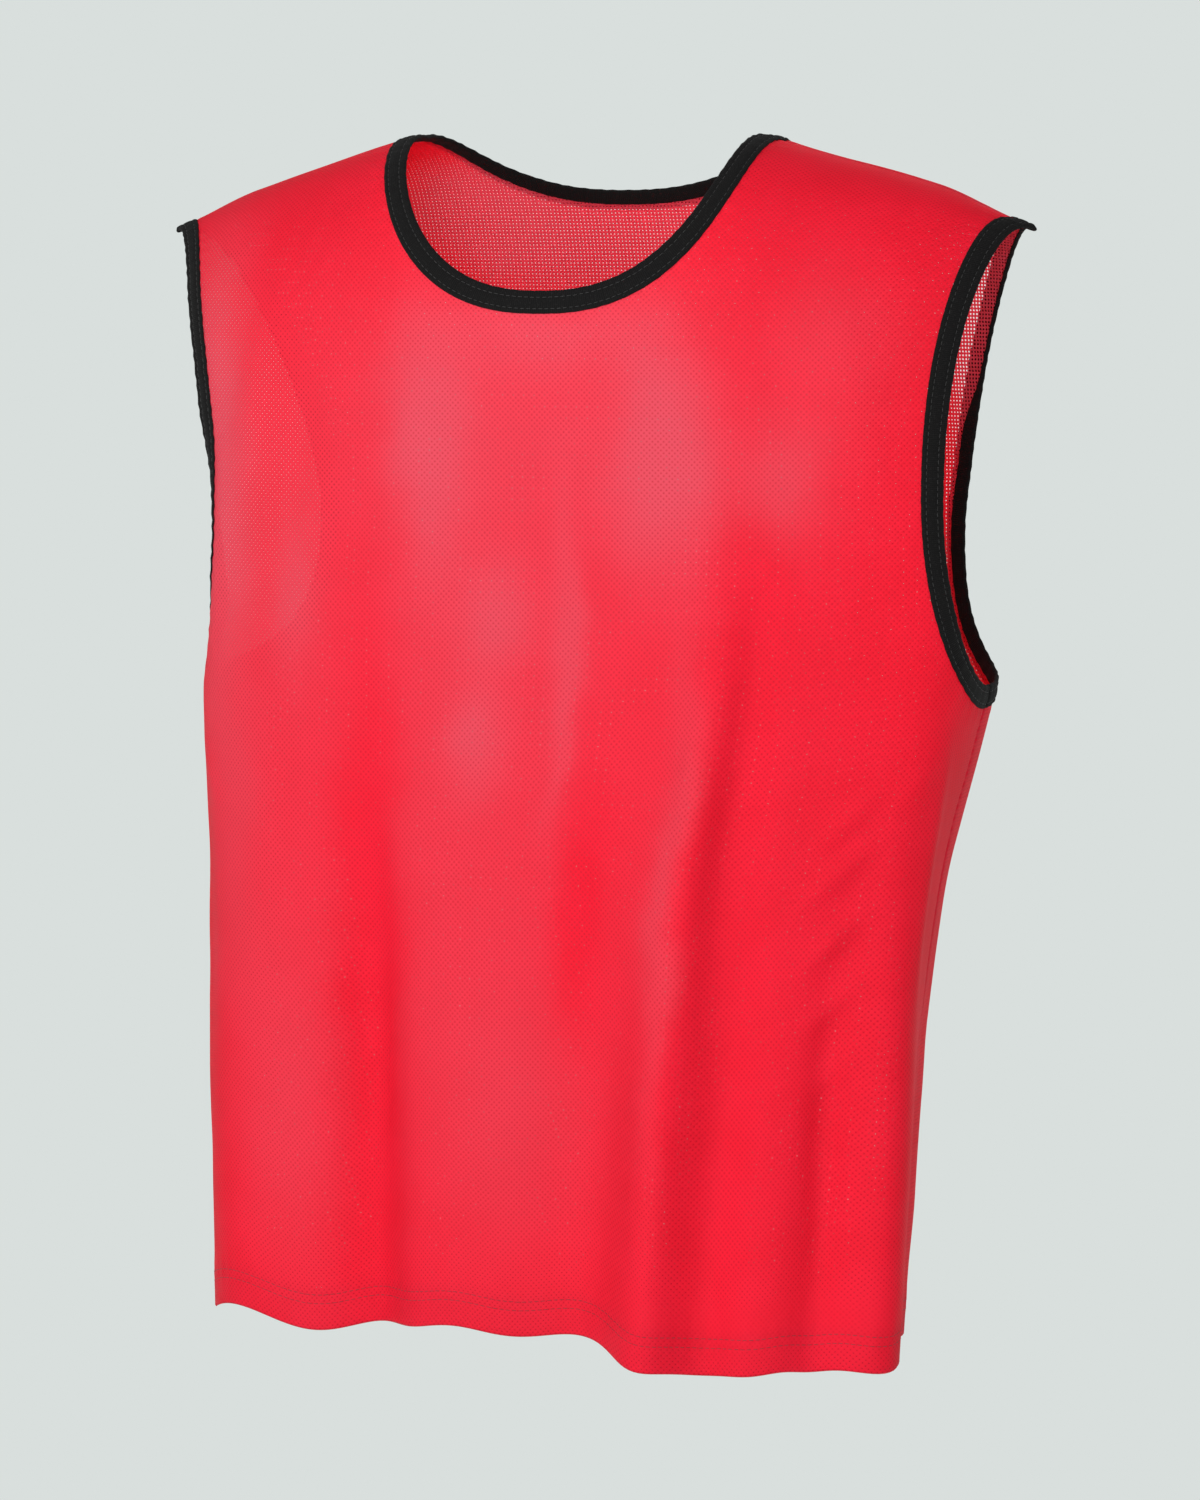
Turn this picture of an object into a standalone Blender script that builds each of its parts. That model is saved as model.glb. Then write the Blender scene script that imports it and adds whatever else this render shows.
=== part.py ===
"""Sleeveless training bib, filled out as if worn, with nothing inside it.

Two mesh-cloth panels are cut in the flat and wrapped on a worn form. A point of the cut is
(across, down): its distance from the centre line, and its distance below the neck point along
the cloth. A binding is folded round the raw edge of the neck and of each armhole.

Metres, +Z up. The front faces -Y and +X is the wearer's left. The origin lies midway between
the two shoulder seams, where the wearer's shoulders hold the bib.
"""

import math

import bpy
import numpy as np
from mathutils import Vector
from mathutils.geometry import delaunay_2d_cdt

# ---- Cloth ------------------------------------------------------------------------------------
CLOTH = 0.0012            # wall of a panel
HEM_HEIGHT = 0.021        # cloth turned up inside at the bottom, which doubles the wall
HEM_STEP = 0.0015         # over which the wall goes from double to single
SEAM_HALF_GAP = 0.00016   # each panel stops this far from a seam's line
BINDING_CLOTH = 0.0010
BINDING_WIDTH = 0.0110    # how far the binding reaches onto the panel's outer face
INNER_SHARE = 0.68        # and onto its inner face, as a share of that
CURL_ENDS = 3.0           # a curl fades out over this part of its length at either end
CURLED_SHARE = 0.30       # the same where the upper back of an armhole curls outwards
BINDING_CLEAR = 0.0006    # between the binding and the panel that it wraps

# ---- Cut --------------------------------------------------------------------------------------
BODY_LENGTH = 0.690       # neck point to hem, along the cloth
UNDERARM_DOWN = 0.343
NECK_HALF = 0.098         # centre line to neck point
SHOULDER_HALF = 0.249     # centre line to shoulder tip
SHOULDER_SLOPE = 0.295    # fall of the shoulder seam for each metre outwards
SHOULDER_EASE = 0.006     # how softly the slope begins beside the neck
TIP_ZONE = 0.055          # the end of the shoulder seam that curves down to the tip
TIP_DROP = 0.007
# Each panel's neckline and armhole. The neckline is a superellipse, squarer for a higher power.
# The armhole is a cubic curve that leaves the shoulder square to its seam and meets the side
# seam level; the pulls are the lengths of its two handles.
CUT_COLUMNS = ("neck_drop", "neck_power", "tip_pull", "underarm_pull")
CUTS = {
    "front": (0.132, 2.4, 0.125, 0.088),
    "back": (0.073, 2.3, 0.140, 0.133),
}

# ---- Worn form --------------------------------------------------------------------------------
NECK_POINT_Z = 0.0235     # neck point above the origin
GATHER_ZONE = 0.10        # above the underarm, over which the folds begin to take up cloth
LOST_SHARE = 0.50         # height lost over the rounded shoulder, as a share of the depth
# Level sections of the form, each a superellipse in front of the side seams and one behind, by
# their distance down the cut. The shifts carry a section off the origin's vertical line.
SECTION_COLUMNS = ("down", "half_width", "front_depth", "back_depth", "squareness", "shift_x", "shift_y")
SECTIONS = (
    (0.000, 0.262, 0.100, 0.085, 2.2, 0.000, 0.000),
    (0.140, 0.248, 0.102, 0.088, 2.5, 0.000, 0.000),
    (0.240, 0.233, 0.102, 0.088, 2.8, 0.003, 0.000),
    (0.343, 0.2245, 0.102, 0.084, 2.9, 0.002, -0.004),
    (0.450, 0.2095, 0.098, 0.078, 2.9, -0.004, -0.016),
    (0.560, 0.2035, 0.090, 0.070, 2.8, -0.004, -0.028),
    (0.690, 0.200, 0.082, 0.062, 2.8, -0.005, -0.038),
)
# Soft vertical folds, by their turn round the body in quarters of 90: 0 is the centre front, 90
# the +X side seam, 180 the centre back. One grows from `top` to the hem, where its crest stands
# `out` from the form, or its trough behind it, and hangs `low` by that much.
FOLD_GROWN = 0.83         # the share of its length by which a fold has its full size
FOLD_COLUMNS = ("turn_top", "turn_hem", "top", "half_turn", "out", "low")
FOLDS = (
    (-64.0, -62.0, 0.300, 12.0, 0.008, -0.012),
    (-31.0, -32.0, 0.330, 8.5, -0.017, -0.006),
    (-17.0, -13.0, 0.400, 13.0, 0.004, -0.013),
    (11.0, 12.0, 0.380, 12.0, -0.013, -0.009),
    (36.0, 27.0, 0.200, 8.0, 0.019, 0.004),
    (44.0, 38.0, 0.320, 6.0, -0.006, 0.005),
    (52.0, 48.0, 0.400, 8.0, 0.004, 0.005),
    (62.0, 61.0, 0.420, 5.0, -0.006, 0.004),
    (70.0, 74.0, 0.250, 7.0, 0.014, 0.004),
    (96.0, 94.0, 0.340, 10.0, -0.010, -0.002),
    (118.0, 118.0, 0.300, 11.0, 0.013, 0.002),
    (142.0, 140.0, 0.360, 10.0, -0.013, -0.003),
    (166.0, 164.0, 0.340, 12.0, 0.014, 0.003),
    (190.0, 191.0, 0.400, 11.0, -0.012, -0.002),
    (216.0, 214.0, 0.320, 12.0, 0.013, 0.003),
    (242.0, 240.0, 0.380, 10.0, -0.012, -0.002),
    (266.0, 265.0, 0.420, 9.0, 0.006, 0.000),
)

# ---- Facets -----------------------------------------------------------------------------------
COLUMN_TURN = 5.0         # the lattice's columns run down the folds, about this far apart
CHEST_ROW = 0.0245        # between its rows above the underarm
CLEARANCE = 0.008         # lattice points keep this far from an outline or a ring
SHOULDER_STEPS = 7
NECK_STEPS = {"front": 20, "back": 14}
ARMHOLE_STEPS = 22
ARMHOLE_CLOSER = 0.10     # steps are this much shorter than even ones at the tip
SIDE_STEPS = 12
SECTION_STEPS = 48
NORMAL_STEP = 0.001
LEAST_DEPTH = 0.0001      # of a section, where its normals are worked out

QUARTER = 90.0
RED, BLACK = (0.80, 0.035, 0.06, 1.0), (0.012, 0.012, 0.013, 1.0)


def smoothstep(value):
    value = min(max(value, 0.0), 1.0)
    return value * value * (3.0 - 2.0 * value)


def section(down, column):
    """One size of the level section, eased between the rows of the table."""
    at = SECTION_COLUMNS.index(column)
    rows = SECTIONS
    downs = [row[0] for row in rows]
    values = [row[at] for row in rows]
    slopes = [
        (values[min(i + 1, len(rows) - 1)] - values[max(i - 1, 0)])
        / (downs[min(i + 1, len(rows) - 1)] - downs[max(i - 1, 0)])
        for i in range(len(rows))
    ]
    down = min(max(down, downs[0]), downs[-1])
    i = min(int(np.searchsorted(downs, down, side="right")) - 1, len(rows) - 2)
    gap = downs[i + 1] - downs[i]
    t = (down - downs[i]) / gap
    rise = smoothstep(t)
    return (values[i] * (1.0 - rise) + values[i + 1] * rise
            + gap * slopes[i] * t * (1.0 - t) ** 2 - gap * slopes[i + 1] * t * t * (1.0 - t))


def shoulder_down(across):
    """How far the line of the shoulder seams lies below the neck point."""
    def ramp(distance):
        return SHOULDER_EASE * math.log1p(math.exp(distance / SHOULDER_EASE))
    tip = TIP_DROP * smoothstep((abs(across) - SHOULDER_HALF) / TIP_ZONE + 1.0)
    return SHOULDER_SLOPE * (ramp(abs(across) - NECK_HALF) - ramp(0.0)) + tip


def quarter(half_width, depth, power):
    """A quarter section from the centre line to the side: its points, normals and arc lengths."""
    angles = np.linspace(0.0, math.pi / 2, SECTION_STEPS)
    sines, cosines = np.sin(angles), np.abs(np.cos(angles))
    size = (sines ** power + cosines ** power) ** (1.0 / power)
    sines, cosines = sines / size, cosines / size
    x, y = half_width * sines, depth * cosines
    arc = np.concatenate([[0.0], np.cumsum(np.hypot(np.diff(x), np.diff(y)))])
    normal_x = sines ** (power - 1.0) / half_width
    normal_y = cosines ** (power - 1.0) / max(depth, LEAST_DEPTH)
    return x, y, normal_x, normal_y, arc


def side_across(panel):
    """The straight side seam's distance from the centre line of the cut."""
    sizes = [section(UNDERARM_DOWN, name) for name in ("half_width", panel + "_depth", "squareness")]
    return quarter(*sizes)[-1][-1]


SIDE_ACROSS = {panel: float(side_across(panel)) for panel in CUTS}


def folds(turn, down):
    """How far the folds push the cloth out and let it down, at a turn round the body."""
    out = low = 0.0
    for row in FOLDS:
        fold = dict(zip(FOLD_COLUMNS, row))
        if down <= fold["top"]:
            continue
        grown = (down - fold["top"]) / (BODY_LENGTH - fold["top"])
        centre = fold["turn_top"] + grown * (fold["turn_hem"] - fold["turn_top"])
        away = (turn - centre + 2 * QUARTER) % (4 * QUARTER) - 2 * QUARTER
        here = smoothstep(grown / FOLD_GROWN) * math.exp(-(away / fold["half_turn"]) ** 2)
        out += fold["out"] * here
        low += fold["low"] * here * grown
    return out, low


def worn(panel, across, down):
    """Where a point of the flat cut lies on the form, which goes on past a seam as the other panel."""
    other = "back" if panel == "front" else "front"
    past_side = abs(across) - SIDE_ACROSS[panel]
    if past_side > 0.0:
        return worn(other, math.copysign(SIDE_ACROSS[other] - past_side, across), down)
    below_seam = down - shoulder_down(across)
    if below_seam < 0.0:
        return worn(other, across, down - 2.0 * below_seam)
    full = section(down, panel + "_depth")
    depth = full * math.tanh(below_seam / full)
    half_width, squareness = section(down, "half_width"), section(down, "squareness")
    x, y, normal_x, normal_y, arc = quarter(half_width, depth, squareness)
    # Below the underarm the level section is shorter than the straight cut: folds take up the rest.
    below_arm = smoothstep((down - UNDERARM_DOWN) / GATHER_ZONE + 1.0)
    taken = 1.0 + below_arm * (arc[-1] / SIDE_ACROSS[panel] - 1.0)
    at = min(abs(across) * taken, arc[-1])
    side = math.copysign(1.0, across)
    facing = -1.0 if panel == "front" else 1.0
    place = Vector((side * np.interp(at, arc, x), facing * np.interp(at, arc, y), 0.0))
    level = Vector((side * np.interp(at, arc, normal_x), facing * np.interp(at, arc, normal_y), 0.0))
    turn = QUARTER * across / SIDE_ACROSS[panel]
    out, low = folds(turn if panel == "front" else 2 * QUARTER - turn, down)
    place += out * level.normalized()
    shift = Vector((section(down, "shift_x"), section(down, "shift_y"), 0.0))
    place += shift * math.tanh(below_seam / full)
    lost = LOST_SHARE * (section(down, "front_depth") + section(down, "back_depth")) / 2
    fall = below_seam - lost * math.tanh(below_seam / lost)
    place.z = NECK_POINT_Z - shoulder_down(across) - fall - low
    return place


def cloth_point(panel, flat, lift=0.0):
    """A point of the worn panel, moved out from its outer face by `lift`."""
    across, down = flat
    sideways = worn(panel, across + NORMAL_STEP, down) - worn(panel, across - NORMAL_STEP, down)
    downwards = worn(panel, across, down + NORMAL_STEP) - worn(panel, across, down - NORMAL_STEP)
    normal = downwards.cross(sideways).normalized()
    if panel == "back":
        normal.negate()
    return worn(panel, across, down) + lift * normal


# ---- Cut lines: points (across, down) of the +X half of a panel ----------------------------------

def neckline(panel, inset=0.0):
    """From the neck point to the centre line, moved into the cloth by `inset`."""
    cut = dict(zip(CUT_COLUMNS, CUTS[panel]))
    steps = NECK_STEPS[panel] // 2
    points = []
    for i in range(steps + 1):
        angle = math.pi / 2 * i / steps
        size = (math.cos(angle) ** cut["neck_power"] + math.sin(angle) ** cut["neck_power"])
        size **= 1.0 / cut["neck_power"]
        across = (NECK_HALF + inset) * math.cos(angle) / size
        down = (cut["neck_drop"] + inset) * math.sin(angle) / size
        points.append((across, max(down, shoulder_down(across))))
    points[-1] = (0.0, points[-1][1])
    return points


def armhole(panel, inset=0.0):
    """From the underarm to the shoulder tip, moved into the cloth by `inset`."""
    cut = dict(zip(CUT_COLUMNS, CUTS[panel]))
    slope = Vector((1.0, SHOULDER_SLOPE)).normalized()
    tip = Vector((SHOULDER_HALF, shoulder_down(SHOULDER_HALF)))
    square = Vector((-slope.y, slope.x))
    underarm = Vector((SIDE_ACROSS[panel], UNDERARM_DOWN))
    handles = (underarm, underarm - Vector((cut["underarm_pull"], 0.0)), tip + cut["tip_pull"] * square, tip)
    points = []
    for share in even(0.0, 1.0, ARMHOLE_STEPS):
        t = share * (1.0 + ARMHOLE_CLOSER * (1.0 - share))
        weights = ((1 - t) ** 3, 3 * t * (1 - t) ** 2, 3 * t * t * (1 - t), t ** 3)
        slopes = (-3 * (1 - t) ** 2, 3 * (1 - t) * (1 - 3 * t), 3 * t * (2 - 3 * t), 3 * t * t)
        place = sum((w * h for w, h in zip(weights, handles)), Vector((0.0, 0.0)))
        along = sum((w * h for w, h in zip(slopes, handles)), Vector((0.0, 0.0))).normalized()
        points.append(tuple(place + inset * Vector((along.y, -along.x))))
    if inset:
        tip_in = SHOULDER_HALF - inset
        points[0] = (SIDE_ACROSS[panel], UNDERARM_DOWN + inset)
        points[-1] = (tip_in, shoulder_down(tip_in))
    return points


def within_seams(panel, points):
    """Points of the cut kept a little short of the side and shoulder seams."""
    side = SIDE_ACROSS[panel] - SEAM_HALF_GAP
    kept = [(min(across, side), down) for across, down in points]
    return [(across, max(down, shoulder_down(across) + SEAM_HALF_GAP)) for across, down in kept]


def even(start, end, steps):
    return [start + (end - start) * i / steps for i in range(steps + 1)]


def half_outline(panel, inset=0.0):
    """The +X half of the cut from the hem's corner to the neck, less `inset` at neck and armhole."""
    seam = [BODY_LENGTH, BODY_LENGTH - HEM_HEIGHT] + rows_below_arm()
    shoulder = even(SHOULDER_HALF - BINDING_WIDTH, NECK_HALF + BINDING_WIDTH, SHOULDER_STEPS)
    points = [(SIDE_ACROSS[panel], down) for down in seam] + armhole(panel, inset)
    points += [(across, shoulder_down(across)) for across in shoulder] + neckline(panel, inset)
    return within_seams(panel, points)


def whole(panel, half):
    """A loop round the whole cut from its +X half, closed along the hem."""
    hem = [(across, BODY_LENGTH) for across in columns(panel, BODY_LENGTH)[1:-1]]
    return half + mirrored(half)[::-1][1:] + hem


def mirrored(points):
    return [(-across, down) for across, down in points]


def half_rings(panel):
    """Where the bindings' edges lie on the +X half of the panel."""
    rings = (armhole(panel, BINDING_WIDTH), neckline(panel, BINDING_WIDTH))
    return [within_seams(panel, ring) for ring in rings]


def inside(point, loop):
    """Whether a point of the cut lies within the outline."""
    crossings = 0
    for start, end in zip(loop, loop[1:] + loop[:1]):
        if (start[1] > point[1]) == (end[1] > point[1]):
            continue
        meets = start[0] + (point[1] - start[1]) / (end[1] - start[1]) * (end[0] - start[0])
        crossings += meets > point[0]
    return crossings % 2 == 1


def rows_below_arm():
    """The levels of the lattice's rows, from just above the hem's turned-up cloth to the underarm."""
    return even(BODY_LENGTH - HEM_HEIGHT - HEM_STEP, UNDERARM_DOWN + BINDING_WIDTH, SIDE_STEPS)


def fold_lines(panel):
    """The lines of a panel's folds and sides: (turn at the hem, turn at the top, top)."""
    lines = [(-QUARTER, -QUARTER, UNDERARM_DOWN), (QUARTER, QUARTER, UNDERARM_DOWN)]
    for row in FOLDS:
        fold = dict(zip(FOLD_COLUMNS, row))
        hem, top = fold["turn_hem"], fold["turn_top"]
        if (abs(hem) < QUARTER) != (panel == "front"):
            continue
        if panel == "back":
            hem, top = 2 * QUARTER - hem, 2 * QUARTER - top
        lines.append((hem, top, fold["top"]))
    return sorted(lines)


def columns(panel, down):
    """Where the lattice's columns cross a level of the cut: along the fold lines and between them."""
    lines = fold_lines(panel)
    turns = []
    for hem, top, start in lines:
        grown = min(max((down - start) / (BODY_LENGTH - start), 0.0), 1.0)
        turns.append(top + grown * (hem - top))
    crossings = []
    for i in range(len(lines) - 1):
        steps = max(1, round((lines[i + 1][0] - lines[i][0]) / COLUMN_TURN))
        crossings += even(turns[i], turns[i + 1], steps)[:-1]
    return [turn * SIDE_ACROSS[panel] / QUARTER for turn in crossings + [QUARTER]]


def lattice(panel, fixed):
    """Points inside the cut's margins, clear of the fixed points, with two rows along the hem."""
    loop = whole(panel, half_outline(panel, BINDING_WIDTH))
    hem_rows = [BODY_LENGTH - HEM_HEIGHT, BODY_LENGTH - HEM_HEIGHT - HEM_STEP]
    chest_rows = even(UNDERARM_DOWN + BINDING_WIDTH, 0.0, round(UNDERARM_DOWN / CHEST_ROW))
    edge = np.array(fixed)
    points = []
    for down in hem_rows + rows_below_arm()[1:] + chest_rows[1:]:
        nearest = HEM_STEP / 2 if down in hem_rows else CLEARANCE
        for across in columns(panel, down):
            clear = np.min(np.hypot(edge[:, 0] - across, edge[:, 1] - down))
            if clear > nearest and inside((across, down), loop):
                points.append((across, down))
    return points


def wall(point):
    """The thickness of the cloth there, which is double where the hem is turned up."""
    hem_top = BODY_LENGTH - HEM_HEIGHT - HEM_STEP / 2
    return 2 * CLOTH if point[1] > hem_top else CLOTH


def make_panel(panel, material):
    """The worn panel: its cut is filled with triangles in the flat, then wrapped on the form."""
    loop = whole(panel, half_outline(panel))
    flat = list(loop)
    edges = []
    for ring in half_rings(panel):
        for points in (ring, mirrored(ring)):
            first = len(flat)
            flat += points
            edges += [(first + i, first + i + 1) for i in range(len(points) - 1)]
    flat += lattice(panel, flat)
    outline = [list(range(len(loop)))]
    filled = delaunay_2d_cdt([Vector(point) for point in flat], edges, outline, 1, 1e-7)
    cut, faces, rim = filled[0], filled[2], range(len(loop))
    mesh = bpy.data.meshes.new(panel + "_panel")
    outer = [cloth_point(panel, point) for point in cut]
    inner = [cloth_point(panel, point, -wall(point)) for point in cut]
    count = len(cut)
    skins = [tuple(face) for face in faces]
    skins += [tuple(count + corner for corner in reversed(face)) for face in faces]
    for start in rim:
        end = (start + 1) % len(loop)
        skins.append((start, end, count + end, count + start))
    if panel == "front":
        skins = [face[::-1] for face in skins]
    mesh.from_pydata(outer + inner, [], skins)
    return add_object(mesh, material)


def binding_stations(line):
    """The points along a closed binding: (panel, edge point, point where the binding ends)."""
    stations = []
    for panel in CUTS:
        front = panel == "front"
        if line == "neck":
            # From the +X neck point round the front, then back round the back.
            half = list(zip(neckline(panel), neckline(panel, BINDING_WIDTH)))
            sides = ((1, half), (-1, half[::-1])) if front else ((-1, half), (1, half[::-1]))
        else:
            # From the underarm up the front, then down the back.
            half = list(zip(armhole(panel), armhole(panel, BINDING_WIDTH)))
            sides = ((1 if line == "left" else -1, half if front else half[::-1]),)
        for side, run in sides:
            for edge, end in run[:-1]:
                stations.append((panel, (side * edge[0], edge[1]), (side * end[0], end[1])))
    return stations


def inner_share(line, panel, down):
    """How far the inner leg reaches there, as a share of the outer one."""
    if line == "neck" or panel == "front":
        return INNER_SHARE
    along = (down - shoulder_down(SHOULDER_HALF)) / (UNDERARM_DOWN - shoulder_down(SHOULDER_HALF))
    curl = smoothstep(along * CURL_ENDS) * smoothstep((1.0 - along) * CURL_ENDS)
    return INNER_SHARE + curl * (CURLED_SHARE - INNER_SHARE)


def make_binding(line, name, material):
    """A strip folded round the raw edge, with one leg outside the panel and one inside."""
    rows = []
    for panel, edge, end in binding_stations(line):
        legs = []
        for lift in (BINDING_CLEAR, -CLOTH - BINDING_CLEAR):
            leg = cloth_point(panel, end, lift)
            corner = cloth_point(panel, edge, lift)
            legs.append((leg, corner + (corner - leg).normalized() * BINDING_CLEAR))
        (outer_leg, outer_corner), (inner_leg, inner_corner) = legs
        inner_leg = inner_corner.lerp(inner_leg, inner_share(line, panel, edge[1]))
        rows.append((outer_leg, outer_corner, inner_corner, inner_leg))
    count, wide = len(rows), len(rows[0])
    faces = []
    for i in range(count):
        after = (i + 1) % count
        for j in range(wide - 1):
            faces.append((i * wide + j, i * wide + j + 1, after * wide + j + 1, after * wide + j))
    if line == "right":
        faces = [face[::-1] for face in faces]
    mesh = bpy.data.meshes.new(name)
    mesh.from_pydata([point for row in rows for point in row], [], faces)
    strip = add_object(mesh, material)
    split = strip.modifiers.new("Triangulate", "TRIANGULATE")
    split.quad_method = "SHORTEST_DIAGONAL"
    wall_of_strip = strip.modifiers.new("Solidify", "SOLIDIFY")
    wall_of_strip.thickness = BINDING_CLOTH
    wall_of_strip.offset = 1.0
    return strip


# ---- Scene --------------------------------------------------------------------------------------

def clear_scene():
    for thing in list(bpy.data.objects):
        bpy.data.objects.remove(thing, do_unlink=True)


def cloth_material(name, colour, roughness):
    material = bpy.data.materials.new(name)
    material.use_nodes = True
    shader = material.node_tree.nodes["Principled BSDF"]
    shader.inputs["Base Color"].default_value = colour
    shader.inputs["Roughness"].default_value = roughness
    shader.inputs["Metallic"].default_value = 0.0
    material.diffuse_color = colour
    return material


def add_object(mesh, material):
    """An object in the bib's collection, named for its mesh."""
    mesh.materials.append(material)
    mesh.shade_smooth()
    thing = bpy.data.objects.new(mesh.name, mesh)
    collection().objects.link(thing)
    return thing


def collection():
    found = bpy.data.collections.get("training_bib")
    if found is None:
        found = bpy.data.collections.new("training_bib")
        bpy.context.scene.collection.children.link(found)
    return found


def main():
    clear_scene()
    for panel in CUTS:
        make_panel(panel, cloth_material(panel + "_mesh_cloth", RED, 0.65))
    bindings = (
        ("neck", "neck_binding"),
        ("left", "armhole_binding_left"),
        ("right", "armhole_binding_right"),
    )
    for line, name in bindings:
        make_binding(line, name, cloth_material(name + "_cloth", BLACK, 0.80))


main()
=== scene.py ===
"""Looks of the sleeveless training bib: fine cloth shells, folded bindings, seams and stitches.

The bib is cut in the flat and wrapped on a worn form, both with the CAD source's sizes, while the
walls have their real thickness. A point of the cut is (across, down): its distance from the centre
line, and its distance below the neck point along the cloth. Past the hem's edge the cloth goes on,
turned up inside. A turn round the body is 0 at the centre front and 90 at the wearer's left seam.
"""

import math

import bpy
import numpy as np
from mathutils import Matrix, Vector, noise
from mathutils.geometry import delaunay_2d_cdt


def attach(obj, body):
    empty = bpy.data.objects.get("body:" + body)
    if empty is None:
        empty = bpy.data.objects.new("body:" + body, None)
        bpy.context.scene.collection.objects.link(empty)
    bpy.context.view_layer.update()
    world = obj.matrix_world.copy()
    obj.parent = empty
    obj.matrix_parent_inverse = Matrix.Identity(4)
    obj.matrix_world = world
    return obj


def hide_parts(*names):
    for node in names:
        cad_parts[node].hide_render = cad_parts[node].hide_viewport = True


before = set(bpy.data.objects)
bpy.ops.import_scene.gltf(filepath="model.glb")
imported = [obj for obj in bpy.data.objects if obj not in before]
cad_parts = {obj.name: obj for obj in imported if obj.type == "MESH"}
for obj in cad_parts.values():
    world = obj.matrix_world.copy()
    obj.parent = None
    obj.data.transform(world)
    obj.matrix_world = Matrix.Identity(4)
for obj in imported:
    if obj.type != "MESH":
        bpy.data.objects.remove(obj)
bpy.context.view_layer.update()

# ---- Cloth ----
CLOTH = 0.0003            # thickness of the mesh cloth
HEM_HEIGHT = 0.0225       # cloth turned up inside at the bottom
HEM_GAP = 0.0009          # from the outer layer to the turned-up one
BINDING_CLOTH = 0.0006
BINDING_WIDTH = 0.0112
INNER_SHARE = 0.68        # the binding's inner leg, as a share of the outer one
CURLED_SHARE = 0.06       # the same where the upper back of an armhole curls outwards
# Where it does, as shares of the armhole's height from the shoulder tip down: it starts over the
# first of these, ends at the second, and takes the third to end.
CURL_START, CURL_END, CURL_FADE = 0.12, 0.42, 0.14
# The binding's shape across its width: the share of a leg's reach, and the lift off the cloth.
OUTER_LEG = (
    (1.000, 0.00035), (0.975, 0.00075), (0.900, 0.00100), (0.830, 0.00098), (0.785, 0.00072),
    (0.740, 0.00100), (0.620, 0.00118), (0.500, 0.00122), (0.380, 0.00116), (0.280, 0.00098),
    (0.232, 0.00070), (0.185, 0.00094), (0.100, 0.00105), (0.020, 0.00098), (-0.045, 0.00070),
    (-0.080, 0.00030), (-0.085, 0.00000),
)
INNER_LEG = (
    (-0.080, 0.00030), (-0.045, 0.00070), (0.020, 0.00095), (0.150, 0.00100), (0.400, 0.00098),
    (0.700, 0.00095), (0.940, 0.00085), (1.000, 0.00045),
)
LENGTH_COLUMN = 8         # the point of the outer leg along which the binding's length is measured

# ---- Seams ----
SEAM_DIP, SEAM_DIP_WIDTH = 0.0009, 0.0022
SEAM_STEP = 0.0020
SEAM_ENDS = 0.0060        # the allowance stops this far from a binding
ALLOWANCE = 0.0065
ALLOWANCE_LIFT = -0.0010
ALLOWANCE_CLOTH = 0.0008
ALLOWANCE_POINTS = 5      # across it
OVERLOCK_NEAR, OVERLOCK_FAR = 0.30, 1.04      # the thread's two sides, as shares of the allowance

# ---- Cut, as in the CAD source ----
BODY_LENGTH = 0.690
UNDERARM_DOWN = 0.343
NECK_HALF = 0.098
SHOULDER_HALF = 0.249
SHOULDER_SLOPE = 0.295
SHOULDER_EASE = 0.006
TIP_ZONE = 0.055
TIP_DROP = 0.007
CUT_COLUMNS = ("neck_drop", "neck_power", "tip_pull", "underarm_pull")
CUTS = {
    "front": (0.132, 2.4, 0.125, 0.088),
    "back": (0.073, 2.3, 0.140, 0.133),
}

# ---- Worn form, as in the CAD source ----
QUARTER = 90.0            # the turn from a centre line to a side seam
NECK_POINT_Z = 0.0235
GATHER_ZONE = 0.10
LOST_SHARE = 0.50
SECTION_COLUMNS = (
    "down", "half_width", "front_depth", "back_depth", "squareness", "shift_x", "shift_y")
SECTIONS = (
    (0.000, 0.262, 0.100, 0.085, 2.2, 0.000, 0.000),
    (0.140, 0.248, 0.102, 0.088, 2.5, 0.000, 0.000),
    (0.240, 0.233, 0.102, 0.088, 2.8, 0.003, 0.000),
    (0.343, 0.2245, 0.102, 0.084, 2.9, 0.002, -0.004),
    (0.450, 0.2095, 0.098, 0.078, 2.9, -0.004, -0.016),
    (0.560, 0.2035, 0.090, 0.070, 2.8, -0.004, -0.028),
    (0.690, 0.200, 0.082, 0.062, 2.8, -0.005, -0.038),
)
FOLD_GROWN = 0.83
FOLD_COLUMNS = ("turn_top", "turn_hem", "top", "half_turn", "out", "low")
FOLDS = (
    (-64.0, -62.0, 0.300, 12.0, 0.008, -0.012),
    (-31.0, -32.0, 0.330, 8.5, -0.017, -0.006),
    (-17.0, -13.0, 0.400, 13.0, 0.004, -0.013),
    (11.0, 12.0, 0.380, 12.0, -0.013, -0.009),
    (36.0, 27.0, 0.200, 8.0, 0.019, 0.004),
    (44.0, 38.0, 0.320, 6.0, -0.006, 0.005),
    (52.0, 48.0, 0.400, 8.0, 0.004, 0.005),
    (62.0, 61.0, 0.420, 5.0, -0.006, 0.004),
    (70.0, 74.0, 0.250, 7.0, 0.014, 0.004),
    (96.0, 94.0, 0.340, 10.0, -0.010, -0.002),
    (118.0, 118.0, 0.300, 11.0, 0.013, 0.002),
    (142.0, 140.0, 0.360, 10.0, -0.013, -0.003),
    (166.0, 164.0, 0.340, 12.0, 0.014, 0.003),
    (190.0, 191.0, 0.400, 11.0, -0.012, -0.002),
    (216.0, 214.0, 0.320, 12.0, 0.013, 0.003),
    (242.0, 240.0, 0.380, 10.0, -0.012, -0.002),
    (266.0, 265.0, 0.420, 9.0, 0.006, 0.000),
)

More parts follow.
